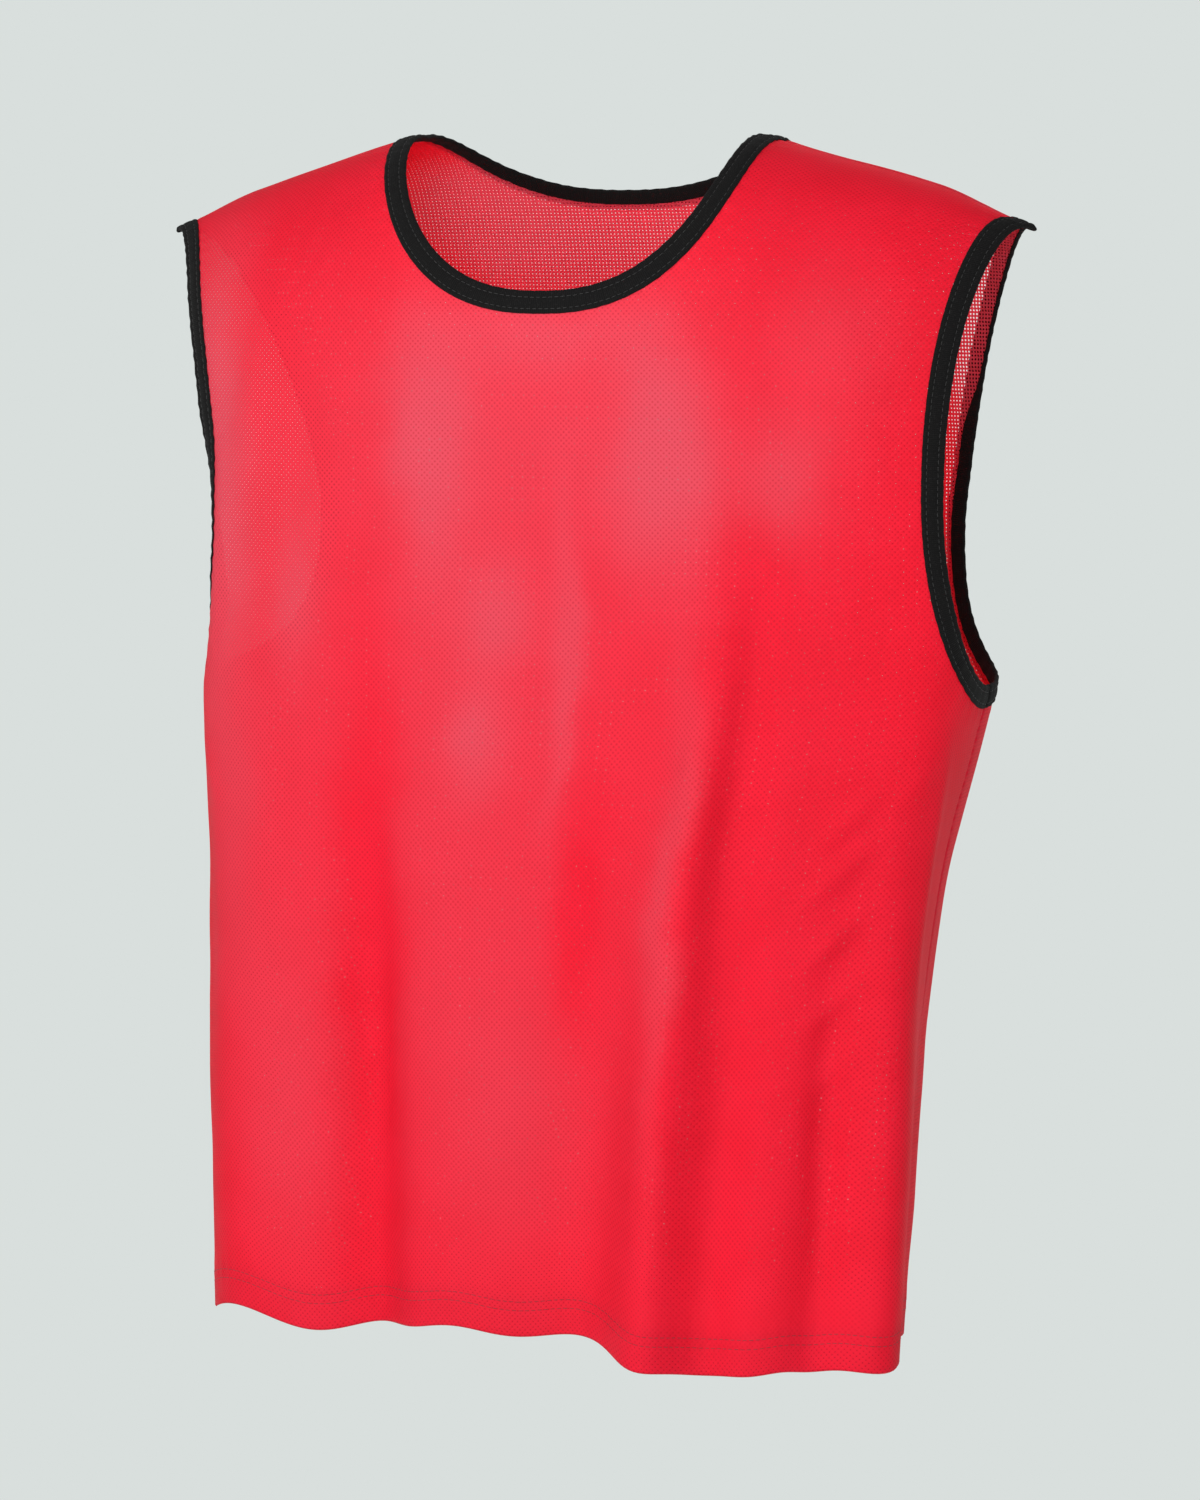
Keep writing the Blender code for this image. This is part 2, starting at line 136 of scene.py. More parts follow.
# ---- Smaller folds, only in these looks ----
# A soft ridge, or a trough where `height` is below 0, that runs from one point of the cut to
# another. It is widest and highest at its middle and fades out at both ends.
CREASE_COLUMNS = ("across_1", "down_1", "across_2", "down_2", "half_width", "height")
CREASES = {"front": (
    # under the neck and over the chest
    (-0.050, 0.155, -0.100, 0.300, 0.016, 0.0018),
    (0.030, 0.150, 0.080, 0.290, 0.015, 0.0016),
    (-0.012, 0.170, -0.010, 0.290, 0.018, -0.0014),
    (-0.150, 0.090, -0.200, 0.300, 0.014, 0.0022),
    (-0.120, 0.120, -0.165, 0.330, 0.013, -0.0016),
    (0.150, 0.110, 0.190, 0.250, 0.015, 0.0018),
    (0.120, 0.120, 0.150, 0.280, 0.012, -0.0014),
    (-0.050, 0.330, -0.020, 0.380, 0.012, 0.0012),
    (-0.080, 0.400, -0.045, 0.470, 0.013, 0.0012),
    (0.012, 0.250, 0.022, 0.430, 0.010, 0.0022),
    # the lower part of the wearer's right armhole, whose edge rolls back
    (-0.198, 0.200, -0.216, 0.345, 0.012, 0.0020),
    (-0.221, 0.195, -0.234, 0.350, 0.013, -0.0110),
    (-0.227, 0.250, -0.256, 0.370, 0.016, -0.0120),
    # the long ridge and the trough beside it, from the chest down
    (0.100, 0.200, 0.098, 0.520, 0.012, 0.0042),
    (0.124, 0.230, 0.116, 0.560, 0.011, -0.0038),
    (0.145, 0.300, 0.150, 0.520, 0.012, 0.0016),
    # down the belly and the wearer's right side
    (-0.093, 0.310, -0.099, 0.640, 0.016, -0.0034),
    (-0.125, 0.420, -0.128, 0.640, 0.010, 0.0016),
    (0.032, 0.390, 0.040, 0.540, 0.013, -0.0026),
    (-0.040, 0.480, -0.036, 0.650, 0.012, 0.0014),
    (-0.160, 0.330, -0.170, 0.560, 0.016, 0.0018),
    (-0.225, 0.360, -0.215, 0.600, 0.012, -0.0014),
    # the wearer's left side
    (0.184, 0.460, 0.194, 0.670, 0.010, -0.0032),
    (0.236, 0.350, 0.238, 0.520, 0.009, 0.0030),
    # ripples that lean beside the wearer's left side
    (0.162, 0.428, 0.208, 0.384, 0.0070, 0.0024),
    (0.156, 0.460, 0.209, 0.412, 0.0068, 0.0030),
    (0.161, 0.491, 0.211, 0.447, 0.0064, 0.0028),
    (0.166, 0.521, 0.212, 0.482, 0.0068, 0.0025),
    (0.172, 0.552, 0.213, 0.518, 0.0064, 0.0020),
    # drag lines from the underarms
    (-0.235, 0.365, -0.190, 0.430, 0.009, 0.0012),
    (0.240, 0.360, 0.195, 0.415, 0.009, 0.0014),
), "back": (
    # drag lines from the underarms
    (-0.235, 0.365, -0.180, 0.440, 0.010, 0.0014),
    (0.235, 0.365, 0.185, 0.425, 0.009, 0.0012),
    # over the shoulder blades, and from them down
    (-0.055, 0.120, -0.110, 0.270, 0.016, 0.0018),
    (0.060, 0.110, 0.105, 0.280, 0.017, 0.0020),
    (0.000, 0.130, 0.004, 0.300, 0.020, -0.0018),
    (-0.165, 0.110, -0.205, 0.290, 0.013, 0.0016),
    (0.160, 0.120, 0.200, 0.300, 0.014, 0.0018),
    (-0.150, 0.420, -0.135, 0.560, 0.012, 0.0018),
    (0.040, 0.360, 0.030, 0.540, 0.012, 0.0024),
    (0.064, 0.380, 0.058, 0.640, 0.012, -0.0026),
    (-0.112, 0.400, -0.118, 0.650, 0.014, -0.0028),
    (0.170, 0.450, 0.190, 0.420, 0.007, 0.0012),
    (0.172, 0.490, 0.205, 0.455, 0.007, 0.0012),
)}
CREASE_END = 0.6          # a crease's width at its ends, as a share of its middle's
WOBBLES = ((0.085, 0.0016), (0.032, 0.00045))      # gentle unevenness all over: its size and height
PUCKER_LENGTH, PUCKER_REACH, PUCKER_HEIGHT = 0.0085, 0.009, 0.00030
HEM_DRIFT, HEM_DRIFT_SCALE = 0.3, 1.7     # the hem's puckers are not quite even, in pucker lengths

# ---- Soft patches of the cut ----
PATCH_COLUMNS = ("across", "down", "half_across", "half_down", "share")
# Painted light: where the knit is painted paler, as painted sheen where the cloth faces the lamps, and as
# painted light on the back's inside at the neck and armholes; or less pale where `share` is below 0, as
# painted shade down the troughs of the folds.
PAINTED_LIGHT_PATCHES = {"front": (
    # painted sheen over the middle of the chest and the belly, and in an arch under the neck
    (-0.050, 0.370, 0.160, 0.280, 0.42),
    (0.020, 0.190, 0.170, 0.080, 0.26),
    (-0.062, 0.215, 0.022, 0.065, 0.45),
    (0.005, 0.152, 0.055, 0.020, 0.35),
    (0.070, 0.215, 0.026, 0.065, 0.58),
    (-0.022, 0.306, 0.022, 0.030, 0.35),
    (-0.028, 0.372, 0.018, 0.026, 0.35),
    (-0.142, 0.300, 0.016, 0.045, 0.30),
    (0.134, 0.234, 0.030, 0.034, 0.40),
    (0.017, 0.333, 0.009, 0.085, 0.30),
    (0.090, 0.440, 0.014, 0.130, 0.36),
    (0.165, 0.150, 0.036, 0.050, 0.24),
    (-0.205, 0.220, 0.030, 0.140, 0.62),
    (-0.190, 0.420, 0.032, 0.120, 0.24),
    # painted sheen on the lower body
    (-0.155, 0.585, 0.038, 0.100, 0.26),
    (0.000, 0.585, 0.060, 0.090, 0.22),
    # painted shade down the troughs
    (-0.096, 0.500, 0.020, 0.170, -0.40),
    (0.035, 0.459, 0.018, 0.060, -0.30),
    (0.118, 0.480, 0.018, 0.200, -0.35),
    (0.188, 0.580, 0.014, 0.120, -0.25),
), "back": (
    # painted sheen over the back, painted light on its inside at the neck and the armholes, and painted
    # shade down two troughs
    (0.010, 0.350, 0.160, 0.260, 0.42),
    (-0.085, 0.210, 0.032, 0.060, 0.35),
    (0.090, 0.225, 0.030, 0.065, 0.40),
    (0.000, 0.105, 0.110, 0.050, 0.60),
    (-0.090, 0.085, 0.045, 0.035, 0.95),
    (0.090, 0.085, 0.045, 0.035, 0.40),
    (-0.220, 0.180, 0.036, 0.120, 0.80),
    (0.220, 0.170, 0.036, 0.120, 1.30),
    (-0.030, 0.420, 0.014, 0.120, 0.25),
    (0.060, 0.520, 0.018, 0.140, -0.35),
    (-0.115, 0.540, 0.020, 0.130, -0.35),
)}
# Where the mesh is stretched, so that its holes are wider, or narrower where `share` is below 0.
STRETCHED_PATCHES = {"front": (
    (-0.215, 0.200, 0.036, 0.150, 0.8),
    (0.215, 0.200, 0.040, 0.150, 0.3),
    (0.000, 0.150, 0.090, 0.030, 0.3),
    (0.170, 0.665, 0.130, 0.022, -1.2),
), "back": (
    (-0.215, 0.180, 0.030, 0.130, 4.0),
    (0.215, 0.180, 0.030, 0.130, 4.2),
    (0.000, 0.090, 0.110, 0.045, 0.8),
)}
PATCH_WARP, PATCH_WARP_SCALE = 0.030, 16.0    # the patches' edges wander by up to half of the first

# ---- Meshes ----
PITCH = 0.0034            # between the points of a panel's mesh
EDGE_STEP = 0.0030
BINDING_STEP = 0.0048     # along a binding, both its edges counted
CURVE_POINTS = 241        # along an armhole's cut, and along half of a neckline's
LEAST_GAP = 0.45          # from the mesh's edge to its inner points, in pitches
FOLD_EDGE = 0.0008        # half of the hem's rolled edge, along the cloth
FOLD_CLEAR = 4 * FOLD_EDGE  # the even rows of points stop this far from the hem's edge
SECTION_STEPS = 96        # along a quarter of a level section
NORMAL_STEP = 0.001       # to either side of a point, for the cloth's slope
LEAST_DEPTH = 0.0001      # of a section, which has none at the shoulder line
CHUNK = 20000             # points measured at a time

# ---- Stitches ----
STITCH_LENGTH, STITCH_GAP, THREAD = 0.0028, 0.0007, 0.00022
# A stitch along its length: the share of the way, its girth, and its rise in threads.
STITCH_SHAPE = (
    (0.00, 0.30, -0.55), (0.16, 0.85, 0.10), (0.50, 1.00, 0.45), (0.84, 0.85, 0.10), (1.00, 0.30, -0.55),
)
RING = 6                             # points round a stitch
HEM_ROWS = (0.0190, 0.0142)          # above the hem's edge
HEM_ROW_STEP = 0.0015
BINDING_ROWS = (0.0026, 0.0088)      # in from the binding's folded edge
BINDING_ROW_LIFT = 0.0007            # the bottom of the groove that the stitches lie in

# ---- Colours and knit ----
RED = (0.9, 0.015, 0.047, 1.0)
RED_DEEP = (0.88, 0.013, 0.041, 1.0)
# the knit's darker tone, and also the painted shade at the holes' rims
RED_DARK = (0.6, 0.004, 0.018, 1.0)
# the paler colour of the painted sheen and painted light
RED_PAINTED_LIGHT = (0.81, 0.105, 0.157, 1.0)
RED_THREAD = (0.46, 0.006, 0.016, 1.0)
RED_THREAD_DARK = (0.3, 0.003, 0.009, 1.0)
BLACK = (0.004, 0.0035, 0.0035, 1.0)
# painted shade in the hollows between the binding's ribs
BLACK_RIB_SHADE = (0.0015, 0.0015, 0.0015, 1.0)
BLACK_WORN = (0.014, 0.013, 0.013, 1.0)
BLACK_THREAD = (0.018, 0.017, 0.017, 1.0)
BLACK_THREAD_DARK = (0.006, 0.006, 0.006, 1.0)
LIGHT_THROUGH = 0.42       # share of the light on a yarn that comes out on its other side
MOST_HOLES = 24            # that a ray of light passes, one behind another
HOLE_PITCH = 0.0030        # between holes along a row, and every other row is shifted by half
HOLE_SIZE = 0.87           # level of the wave at which a hole opens; nearer 1 is smaller
HOLE_STRETCH = 0.16        # how much lower that level is where the mesh is stretched
HOLE_EDGE = 0.10
HOLE_RIM = -0.2            # level of the wave at which painted shade begins to darken the cloth towards a hole
HOLE_BIAS = {"front": 0.0, "back": math.radians(45.0)}
YARN_PITCH = 0.00075
YARN_SHADE = 0.22          # how much darker the knit is between its loops, and how much painted shade darkens it at a hole's rim
CLOTH_ROUGHNESS = (0.58, 0.46)       # between the loops, and on them
KNIT_RELIEF, RIB_RELIEF, THREAD_RELIEF = 0.00018, 0.00012, 0.00005
UNEVEN_SCALE, LINT_SCALE, WEAR_SCALE = 26.0, 900.0, 40.0      # of the noise over the cut
THREAD_TWISTS = 90.0
RIB_PITCH = 0.0011
MIX_INPUTS, MIX_OUTPUT = (0, 6, 7), 2    # a Mix node's sockets for a share and two colours, and its result

# ---- Setting ----
# The camera looks at the target from these angles, moved to its right by TARGET_RIGHT.
AZIMUTH, ELEVATION, DISTANCE, LENS = 19.0, 5.7, 2.8, 121.0
TARGET = Vector((0.0, 0.0, -0.315))
TARGET_RIGHT = 0.0033
FLOOR_Z = -1.42
FLOOR_RINGS = (1.0, 2.0, 4.0, 8.0, 16.0, 40.0)
FLOOR_POINTS = 64
FLOOR_COLOUR = (0.60, 0.64, 0.63, 1.0)
FLOOR_FADE = (1.6, 2.6)    # distances over which the floor fades into the surroundings
PALE = (0.694, 0.737, 0.723, 1.0)
AMBIENT = 0.37             # how strongly the surroundings light the bib
# Name, azimuth, elevation, distance, size, power, and whether the lamp shows in the cloth's gleam.
LIGHTS = (
    ("key", -36.0, 12.0, 2.6, 1.1, 27.0, True),
    ("front", 8.0, 0.0, 2.8, 1.2, 13.0, True),
    ("fill", 26.0, 0.0, 3.0, 1.8, 29.0, True),
    ("top", 6.0, 30.0, 2.6, 0.9, 20.0, True),
    ("rear", 178.0, 30.0, 3.0, 1.6, 118.0, False),
)


def smoothstep(value):
    """Eased from 0 at 0 to 1 at 1."""
    value = np.clip(value, 0.0, 1.0)
    return value * value * (3.0 - 2.0 * value)


def section(down, column):
    """One size of the level section at each `down`, eased between the rows of the table."""
    downs = np.array([row[0] for row in SECTIONS])
    values = np.array([row[SECTION_COLUMNS.index(column)] for row in SECTIONS])
    after = np.minimum(np.arange(len(downs)) + 1, len(downs) - 1)
    before = np.maximum(np.arange(len(downs)) - 1, 0)
    slopes = (values[after] - values[before]) / (downs[after] - downs[before])
    down = np.clip(down, downs[0], downs[-1])
    i = np.minimum(np.searchsorted(downs, down, side="right") - 1, len(downs) - 2)
    gap = downs[i + 1] - downs[i]
    t = (down - downs[i]) / gap
    rise = smoothstep(t)
    return (values[i] * (1.0 - rise) + values[i + 1] * rise
            + gap * slopes[i] * t * (1.0 - t) ** 2 - gap * slopes[i + 1] * t * t * (1.0 - t))


def shoulder_down(across):
    """How far the line of the shoulder seams lies below the neck point."""
    across = np.abs(across)
    ramp = SHOULDER_EASE * (np.logaddexp(0.0, (across - NECK_HALF) / SHOULDER_EASE) - math.log(2.0))
    tip = TIP_DROP * smoothstep((across - SHOULDER_HALF) / TIP_ZONE + 1.0)
    return SHOULDER_SLOPE * ramp + tip


def quarter(half_width, depth, power, at=None):
    """Points and normals of quarter sections, `at` a length along each, or their whole lengths."""
    angles = np.linspace(0.0, math.pi / 2, SECTION_STEPS)
    sines, cosines = np.sin(angles)[None, :], np.abs(np.cos(angles))[None, :]
    half_width, depth, power = (
        np.atleast_1d(value)[:, None] for value in (half_width, depth, power))
    size = (sines ** power + cosines ** power) ** (1.0 / power)
    sines, cosines = sines / size, cosines / size
    x, y = half_width * sines, depth * cosines
    lengths = np.cumsum(np.hypot(np.diff(x, axis=1), np.diff(y, axis=1)), axis=1)
    arc = np.concatenate([np.zeros((len(x), 1)), lengths], axis=1)
    if at is None:
        return arc[:, -1]
    at = at(arc[:, -1])
    i = np.clip((arc < at[:, None]).sum(axis=1) - 1, 0, SECTION_STEPS - 2)
    row = np.arange(len(arc))
    share = np.clip((at - arc[row, i]) / np.maximum(arc[row, i + 1] - arc[row, i], 1e-12), 0.0, 1.0)

    def between(values):
        return values[row, i] * (1.0 - share) + values[row, i + 1] * share
    normal_x = sines ** (power - 1.0) / half_width
    normal_y = cosines ** (power - 1.0) / np.maximum(depth, LEAST_DEPTH)
    return between(x), between(y), between(normal_x), between(normal_y)


def side_across(panel):
    """The straight side seam's distance from the centre line of the cut."""
    sizes = [section(UNDERARM_DOWN, name) for name in ("half_width", panel + "_depth", "squareness")]
    return float(quarter(*sizes)[0])


SIDE_ACROSS = {panel: side_across(panel) for panel in CUTS}


def folds(turn, down):
    """How far the folds push the cloth out and let it down, at a turn round the body."""
    out, low = np.zeros_like(down), np.zeros_like(down)
    for row in FOLDS:
        fold = dict(zip(FOLD_COLUMNS, row))
        grown = np.maximum((down - fold["top"]) / (BODY_LENGTH - fold["top"]), 0.0)
        centre = fold["turn_top"] + grown * (fold["turn_hem"] - fold["turn_top"])
        away = (turn - centre + 2 * QUARTER) % (4 * QUARTER) - 2 * QUARTER
        here = smoothstep(grown / FOLD_GROWN) * np.exp(-(away / fold["half_turn"]) ** 2)
        out += fold["out"] * here
        low += fold["low"] * here * grown
    return out, low


def worn(front, across, down):
    """Where points of the flat cuts lie on the form, which goes on past a seam as the other panel."""
    side = np.where(front, SIDE_ACROSS["front"], SIDE_ACROSS["back"])
    other = np.where(front, SIDE_ACROSS["back"], SIDE_ACROSS["front"])
    past = np.abs(across) - side
    across = np.where(past > 0.0, np.copysign(other - past, across), across)
    front = front ^ (past > 0.0)
    below = down - shoulder_down(across)
    down = np.where(below < 0.0, down - 2.0 * below, down)
    front, below = front ^ (below < 0.0), np.abs(below)
    side = np.where(front, SIDE_ACROSS["front"], SIDE_ACROSS["back"])
    front_depth, back_depth = section(down, "front_depth"), section(down, "back_depth")
    full = np.where(front, front_depth, back_depth)
    turned = np.tanh(below / full)
    below_arm = smoothstep((down - UNDERARM_DOWN) / GATHER_ZONE + 1.0)

    def at(length):
        return np.minimum(np.abs(across) * (1.0 + below_arm * (length / side - 1.0)), length)
    x, y, normal_x, normal_y = quarter(
        section(down, "half_width"), full * turned, section(down, "squareness"), at)
    sign, facing = np.copysign(1.0, across), np.where(front, -1.0, 1.0)
    size = np.hypot(normal_x, normal_y)
    turn = QUARTER * across / side
    out, low = folds(np.where(front, turn, 2 * QUARTER - turn), down)
    lost = LOST_SHARE * (front_depth + back_depth) / 2
    fall = below - lost * np.tanh(below / lost)
    return np.stack([
        sign * (x + out * normal_x / size) + section(down, "shift_x") * turned,
        facing * (y + out * normal_y / size) + section(down, "shift_y") * turned,
        NECK_POINT_Z - shoulder_down(across) - fall - low,
    ], axis=1)


def placed(panel, points):
    """The form's points and outward normals under points of a panel's cut."""
    across, down = points[:, 0], points[:, 1]
    front = np.full(len(points), panel == "front")
    step = NORMAL_STEP
    sideways = worn(front, across + step, down) - worn(front, across - step, down)
    downwards = worn(front, across, down + step) - worn(front, across, down - step)
    normals = np.cross(downwards, sideways)
    normals *= (1.0 if panel == "front" else -1.0) / np.linalg.norm(normals, axis=1)[:, None]
    return worn(front, across, down), normals


# ---- Cut lines ----

def flat(across, down):
    """Points of the cut."""
    return np.stack(np.broadcast_arrays(across, down), axis=1).astype(float)


def travelled(points):
    """How far along a line each of its points is."""
    return np.concatenate([[0.0], np.cumsum(np.linalg.norm(np.diff(points, axis=0), axis=1))])


def resampled(points, step):
    """The same line, with its points about `step` apart."""
    points = np.array(points)
    along = travelled(points)
    at = np.linspace(0.0, along[-1], max(2, round(along[-1] / step) + 1))
    return np.stack([np.interp(at, along, points[:, k]) for k in range(points.shape[1])], axis=1)


def neckline(panel, inset=0.0):
    """From the neck point to the centre line, moved into the cloth by `inset`."""
    cut = dict(zip(CUT_COLUMNS, CUTS[panel]))
    angle = np.linspace(0.0, math.pi / 2, CURVE_POINTS)
    power = cut["neck_power"]
    size = (np.cos(angle) ** power + np.sin(angle) ** power) ** (1.0 / power)
    across = (NECK_HALF + inset) * np.cos(angle) / size
    down = (cut["neck_drop"] + inset) * np.sin(angle) / size
    across[-1] = 0.0
    return flat(across, np.maximum(down, shoulder_down(across)))


def armhole(panel, inset=0.0):
    """From the underarm to the shoulder tip, moved into the cloth by `inset`."""
    cut = dict(zip(CUT_COLUMNS, CUTS[panel]))
    slope = np.array([1.0, SHOULDER_SLOPE]) / math.hypot(1.0, SHOULDER_SLOPE)
    tip = np.array([SHOULDER_HALF, float(shoulder_down(SHOULDER_HALF))])
    underarm = np.array([SIDE_ACROSS[panel], UNDERARM_DOWN])
    underarm_handle = underarm - (cut["underarm_pull"], 0.0)
    tip_handle = tip + cut["tip_pull"] * np.array((-slope[1], slope[0]))
    handles = (underarm, underarm_handle, tip_handle, tip)
    t = np.linspace(0.0, 1.0, CURVE_POINTS)[:, None]
    weights = ((1 - t) ** 3, 3 * t * (1 - t) ** 2, 3 * t * t * (1 - t), t ** 3)
    slopes = (-3 * (1 - t) ** 2, 3 * (1 - t) * (1 - 3 * t), 3 * t * (2 - 3 * t), 3 * t * t)
    place = sum(w * h for w, h in zip(weights, handles))
    along = sum(w * h for w, h in zip(slopes, handles))
    along /= np.linalg.norm(along, axis=1)[:, None]
    points = place + inset * np.stack([along[:, 1], -along[:, 0]], axis=1)
    if inset:
        points[0] = SIDE_ACROSS[panel], UNDERARM_DOWN + inset
        points[-1] = SHOULDER_HALF - inset, shoulder_down(SHOULDER_HALF - inset)
    return points


def half_outline(panel):
    """The +X half of the cut, from the centre of the turned-up hem's raw edge to the neck's."""
    side, end = SIDE_ACROSS[panel], BODY_LENGTH + HEM_HEIGHT
    hem = resampled([(0.0, end), (side, end)], EDGE_STEP)[:-1]
    seam_downs = resampled([(side, BODY_LENGTH - FOLD_CLEAR), (side, UNDERARM_DOWN)], EDGE_STEP)[:-1]
    turned = resampled([(side, end), (side, BODY_LENGTH + FOLD_CLEAR)], EDGE_STEP)
    edge = [(side, BODY_LENGTH + k * FOLD_EDGE) for k in (1, 0, -1)]
    across = np.linspace(SHOULDER_HALF, NECK_HALF, round((SHOULDER_HALF - NECK_HALF) / EDGE_STEP))[1:-1]
    shoulder = flat(across, shoulder_down(across))
    return np.concatenate([
        hem, turned, edge, seam_downs, resampled(armhole(panel), EDGE_STEP), shoulder,
        resampled(neckline(panel), EDGE_STEP)])


def inside(points, loop):
    """Which points of the cut lie within the outline."""
    crossings = np.zeros(len(points), int)
    for start, end in zip(loop, np.roll(loop, -1, axis=0)):
        if start[1] == end[1]:
            continue
        spans = (start[1] > points[:, 1]) != (end[1] > points[:, 1])
        meets = start[0] + (points[:, 1] - start[1]) / (end[1] - start[1]) * (end[0] - start[0])
        crossings += spans & (meets > points[:, 0])
    return crossings % 2 == 1


def nearest(points, line):
    """Each point's distance from a line of close points, and where along the line that is."""
    along = travelled(line)
    distance, place = np.empty(len(points)), np.empty(len(points))
    for first in range(0, len(points), CHUNK):
        part = points[first:first + CHUNK]
        gaps = np.linalg.norm(part[:, None, :] - line[None, :, :], axis=2)
        found = gaps.argmin(axis=1)
        distance[first:first + CHUNK] = gaps[np.arange(len(part)), found]
        place[first:first + CHUNK] = along[found]
    return distance, place


# ---- The cloth's surface ----

def rows_of(table, columns, panel):
    """A panel's rows of a table, by their columns' names."""
    return [dict(zip(columns, row)) for row in table[panel]]


def creases(panel, points):
    """The height of the smaller folds at points of a panel's cut."""
    height = np.zeros(len(points))
    for crease in rows_of(CREASES, CREASE_COLUMNS, panel):
        start = np.array([crease["across_1"], crease["down_1"]])
        line = np.array([crease["across_2"], crease["down_2"]]) - start
        length = np.linalg.norm(line)
        along = (points - start) @ line / length ** 2
        aside = (points - start) @ np.array([-line[1], line[0]]) / length
        fade = np.sin(math.pi * np.clip(along, 0.0, 1.0)) ** 2
        width = crease["half_width"] * (CREASE_END + (1.0 - CREASE_END) * fade)
        height += crease["height"] * fade * np.exp(-(aside / width) ** 2)
    return height


def wobble(places):
    """A gentle unevenness of the whole cloth, by where it lies."""
    height = np.zeros(len(places))
    for size, high in WOBBLES:
        height += high * np.array([noise.noise(Vector(place) / size) for place in places])
    return height


def puckers(panel, points):
    """The cloth's small waves beside the stitched bindings and above the hem's stitches."""
    height = np.zeros(len(points))
    folded = flat(np.abs(points[:, 0]), points[:, 1])
    for line in (neckline(panel), armhole(panel)):
        close = resampled(line, EDGE_STEP / 2)
        distance, place = nearest(folded, close)
        fade = np.exp(-(np.maximum(distance - BINDING_WIDTH, 0.0) / PUCKER_REACH) ** 2)
        height += PUCKER_HEIGHT * fade * np.sin(2 * math.pi * place / PUCKER_LENGTH)
    above = np.abs(BODY_LENGTH - points[:, 1]) - HEM_ROWS[0]
    fade = np.exp(-(above / PUCKER_REACH) ** 2)
    along = points[:, 0] / PUCKER_LENGTH
    wave = along + HEM_DRIFT * np.sin(along / HEM_DRIFT_SCALE)
    return height + PUCKER_HEIGHT * fade * np.sin(2 * math.pi * wave)


def seam_dip(panel, points):
    """The groove along the side and shoulder seams, below 0."""
    side = SIDE_ACROSS[panel] - np.abs(points[:, 0])
    shoulder = points[:, 1] - shoulder_down(points[:, 0])
    return -SEAM_DIP * sum(np.exp(-(gap / SEAM_DIP_WIDTH) ** 2) for gap in (side, shoulder))


def cloth_points(panel, points, lift=0.0):
    """Points of the cut as they lie on the finished cloth, moved out from its face by `lift`."""
    points = np.asarray(points, float)
    down = points[:, 1]
    beyond = down - BODY_LENGTH
    # The last stretch of the cut is turned up inside, round the hem's rolled edge.
    shown = flat(points[:, 0], BODY_LENGTH - np.abs(beyond))
    turned = np.clip((beyond + FOLD_EDGE) / (2 * FOLD_EDGE), 0.0, 1.0)
    places, normals = placed(panel, shown)
    height = creases(panel, shown) + puckers(panel, shown) + seam_dip(panel, shown) + wobble(places)
    height = height - HEM_GAP * turned + lift * (1.0 - 2.0 * turned)
    return places + normals * height[:, None]


# ---- Mesh building ----

def grid_faces(lengths, wide, closed=False):
    """Faces between rows of `wide` points, which may close into rings."""
    spans = [(k, (k + 1) % wide) for k in range(wide if closed else wide - 1)]
    return [(i * wide + k, i * wide + after, (i + 1) * wide + after, (i + 1) * wide + k)
            for i in range(lengths) for k, after in spans]


def add_object(name, data):
    """A new object in the scene."""
    added = bpy.data.objects.new(name, data)
    bpy.context.scene.collection.objects.link(added)
    return added


def add_piece(name, points, faces, uvs, material, thickness=0.0):
    """A piece of the bib, in the row frame, with the flat cut in metres as its UV map."""
    mesh = bpy.data.meshes.new(name)
    mesh.from_pydata([tuple(point) for point in points], [], [tuple(face) for face in faces])
    corners = np.array([loop.vertex_index for loop in mesh.loops])
    mesh.uv_layers.new(name="cut").data.foreach_set("uv", np.asarray(uvs, float)[corners].ravel())
    mesh.materials.append(material)
    mesh.shade_smooth()
    piece = add_object(name, mesh)
    if thickness:
        wall = piece.modifiers.new("Solidify", "SOLIDIFY")
        wall.thickness = thickness
        wall.offset = 0.0
    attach(piece, "root")
    return piece


def make_panel(panel, material):
    """A panel's cloth, its cut filled with a fine mesh, and the cut's flat area."""
    half = half_outline(panel)
    mirror = half[::-1][1:-1] * (-1.0, 1.0)
    loop = np.concatenate([half, mirror])
    across = np.arange(-SIDE_ACROSS[panel], SIDE_ACROSS[panel], PITCH)
    up = np.arange(BODY_LENGTH - FOLD_CLEAR, 0.0, -PITCH * math.sqrt(3.0) / 2)
    turned = np.arange(BODY_LENGTH + FOLD_CLEAR, BODY_LENGTH + HEM_HEIGHT, PITCH)
    edge = [BODY_LENGTH + k * FOLD_EDGE for k in (-1, 0, 1)]
    rows = [(down, 0.5 * PITCH * (i % 2)) for i, down in enumerate(up)]
    rows += [(down, 0.0) for down in [*edge, *turned]]
    lattice = np.concatenate([flat(across + shift, down) for down, shift in rows])
    lattice = lattice[inside(lattice, loop)]
    gaps, _ = nearest(lattice, np.concatenate([loop, loop[:1]]))
    lattice = lattice[gaps > LEAST_GAP * PITCH]
    given = [Vector(point) for point in np.concatenate([loop, lattice])]
    filled = delaunay_2d_cdt(given, [], [list(range(len(loop)))], 1, 1e-8)
    cut = np.array([tuple(point) for point in filled[0]])
    faces = np.array(filled[2])
    sides = cut[faces[:, 1:]] - cut[faces[:, :1]]
    area = 0.5 * np.abs(sides[:, 0, 0] * sides[:, 1, 1] - sides[:, 0, 1] * sides[:, 1, 0]).sum()
    if panel == "front":
        faces = faces[:, ::-1]
    piece = add_piece(panel + "_cloth", cloth_points(panel, cut), faces, cut * (1.0, -1.0), material,
                      CLOTH)
    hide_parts(panel + "_panel")
    return piece, area


